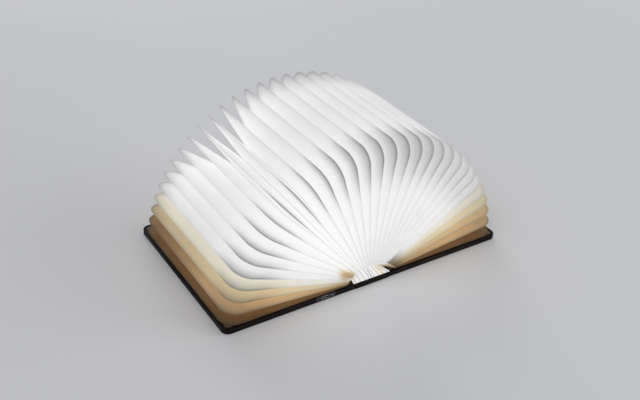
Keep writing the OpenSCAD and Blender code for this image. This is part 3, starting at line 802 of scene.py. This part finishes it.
class LAMP_OT_root_strips(bpy.types.Operator):
    """Lays the ribbed paper strips over the spine, from which the leaves rise"""
    bl_idname = "lamp.root_strips"
    bl_label = "Root strips"

    def execute(self, context):
        spine, made = context.scene.lamp_spine, finishes()["root_paper"]
        low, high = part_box("root_strip_right")
        steps = 10 * spine.ribs
        rest = high.y - spine.slope
        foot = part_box("cover_leather_right")[1].z + 2 * spine.strip
        ends = [-high.y - spine.overhang, -high.y, -high.y + 0.25 * spine.slope,
                -high.y + 0.6 * spine.slope, -rest]
        rows = ends + [0.0] + [-y for y in reversed(ends)]
        for side, name in ((-1, "left"), (1, "right")):
            form = bmesh.new()
            groove = form.verts.layers.float.new("groove")
            grid = []
            for y in rows:
                # 0 at the strip's end, 1 where the leaves stand on it
                rise = min(1.0, max(0.0, (high.y - abs(y)) / spine.slope))
                fold = 0.35 + 0.65 * min(1.0, 2 * rise)
                line = []
                for i in range(steps + 1):
                    x = low.x + (high.x + spine.flare * (1 - rise) - low.x) * i / steps
                    turn = 90 * (1 - x / context.scene.lamp_leaves.root_spread)
                    wave = 0.5 - 0.5 * math.cos(2 * math.pi * spine.ribs * i / steps)
                    top = max(foot, root_at(max(0.0, turn)).z - 0.0005)
                    z = foot + (top - foot) * rise ** 0.7 - spine.rib_depth * fold * wave * rise
                    vert = form.verts.new((side * x, y, z))
                    vert[groove] = wave
                    line.append(vert)
                grid.append(line)
            for a, b in zip(grid, grid[1:]):
                for i in range(steps):
                    face = [a[i], a[i + 1], b[i + 1], b[i]]
                    form.faces.new(face if side > 0 else face[::-1])
            mesh = bpy.data.meshes.new(f"ribbed_strip_{name}")
            form.to_mesh(mesh)
            form.free()
            piece = helper(mesh.name, mesh)
            thick = piece.modifiers.new("paper", "SOLIDIFY")
            thick.thickness, thick.offset = spine.strip, -1.0
            piece = put(f"ribbed_strip_{name}", baked(piece, mesh.name), made, None)
            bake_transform(piece)
            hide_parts(f"root_strip_{name}")
        return {"FINISHED"}


class LAMP_OT_leathers(bpy.types.Operator):
    """Rounds the leather's edges and turns it over the ends of the spine and its hinges"""
    bl_idname = "lamp.leathers"
    bl_label = "Leathers"

    def execute(self, context):
        made = finishes()["leather"]
        for side in ("left", "right"):
            piece = helper("shell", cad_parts[f"cover_leather_{side}"].data.copy())
            self.rounded(piece)
            piece = put(f"leather_cover_{side}", baked(piece, f"leather_cover_{side}"), made,
                        f"cover_{side}")
            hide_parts(f"cover_leather_{side}")
        board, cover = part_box("spine_board")[1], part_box("cover_leather_right")
        piece = self.turned_over("leather_spine", -board.x, board.x, context.scene.lamp_spine.cap, 2)
        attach(piece, "spine")
        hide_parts("spine_leather")
        for side, name in ((-1, "left"), (1, "right")):
            x0, x1 = sorted((side * board.x, side * cover[0].x))
            piece = self.turned_over(f"leather_hinge_{name}", x0, x1,
                                     board.z + context.scene.lamp_spine.hinge_over, 8)
            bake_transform(piece)
            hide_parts(f"hinge_leather_{name}")
        return {"FINISHED"}

    def rounded(self, piece):
        form = bmesh.new()
        form.from_mesh(piece.data)
        bmesh.ops.remove_doubles(form, verts=form.verts, dist=1e-6)
        bmesh.ops.dissolve_limit(form, angle_limit=math.radians(1), verts=form.verts, edges=form.edges)
        form.to_mesh(piece.data)
        form.free()
        edge = piece.modifiers.new("rounding", "BEVEL")
        edge.width, edge.segments = bpy.context.scene.lamp_spine.round, 3
        edge.limit_method, edge.angle_limit = "ANGLE", math.radians(50)
        edge.harden_normals = True

    def turned_over(self, name, x0, x1, height, cuts):
        """Leather under the spine, folded over both of its ends and turned in on top."""
        spine, gap = bpy.context.scene.lamp_spine, 0.00005
        under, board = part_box("spine_leather")[1].z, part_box("spine_board")[1]
        out, inner, seat = board.y + gap, board.y - spine.turn_in, board.z + gap
        # from the middle of the underside round one end, out and back
        half = [(out + spine.lip, 0), (out + spine.lip, height), (inner, height), (inner, seat),
                (out, seat), (out, under)]
        outline = half + [(-y, z) for y, z in reversed(half)]
        form = bmesh.new()
        rings = [[form.verts.new((x0 + (x1 - x0) * i / cuts, y, z)) for y, z in outline]
                 for i in range(cuts + 1)]
        skin(form, rings)
        mesh = bpy.data.meshes.new(name)
        form.to_mesh(mesh)
        form.free()
        piece = helper("wrap", mesh)
        edge = piece.modifiers.new("rounding", "BEVEL")
        edge.width, edge.segments = spine.lip * 0.6, 2
        edge.limit_method, edge.angle_limit = "ANGLE", math.radians(50)
        piece = put(name, baked(piece, name), finishes()["leather"], None)
        return piece


class LAMP_OT_ribbon(bpy.types.Operator):
    """Lays the flat cable across the left hinge"""
    bl_idname = "lamp.ribbon"
    bl_label = "Flat cable"

    def execute(self, context):
        low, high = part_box("power_ribbon")
        form = bmesh.new()
        cuts = 24
        outline = [(low.y, low.z), (high.y, low.z), (high.y, high.z), (low.y, high.z)]
        rings = [[form.verts.new((low.x + (high.x - low.x) * i / cuts, y, z)) for y, z in outline]
                 for i in range(cuts + 1)]
        skin(form, rings)
        mesh = bpy.data.meshes.new("flat_cable")
        form.to_mesh(mesh)
        form.free()
        piece = put("flat_cable", mesh, finishes()["film"], None, smooth=False)
        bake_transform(piece)
        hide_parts("power_ribbon")
        return {"FINISHED"}


class LAMP_PT_panel(bpy.types.Panel):
    """Lists the lamp's sizes and looks, and the buttons that build its pieces"""
    bl_idname = "LAMP_PT_panel"
    bl_label = "Book Lamp"
    bl_space_type = "VIEW_3D"
    bl_region_type = "UI"
    bl_category = "Book Lamp"

    def draw(self, context):
        for key, kind in GROUPS.items():
            box = self.layout.box()
            for prop in kind.__annotations__:
                box.prop(getattr(context.scene, key), prop)
        for operator in OPERATORS:
            self.layout.operator(operator.bl_idname)


OPERATORS = (LAMP_OT_stage, LAMP_OT_finishes, LAMP_OT_pleats, LAMP_OT_root_strips, LAMP_OT_leathers,
             LAMP_OT_ribbon)
CLASSES = (*GROUPS.values(), *OPERATORS, LAMP_PT_panel)


def register():
    for kind in CLASSES:
        bpy.utils.register_class(kind)
    for key, kind in GROUPS.items():
        setattr(bpy.types.Scene, key, bpy.props.PointerProperty(type=kind))


def unregister():
    for key in GROUPS:
        delattr(bpy.types.Scene, key)
    for kind in reversed(CLASSES):
        bpy.utils.unregister_class(kind)


def main():
    register()
    bpy.ops.lamp.stage()
    bpy.ops.lamp.finishes()
    bpy.ops.lamp.pleats()
    bpy.ops.lamp.root_strips()
    bpy.ops.lamp.leathers()
    bpy.ops.lamp.ribbon()


if __name__ == "__main__":
    main()
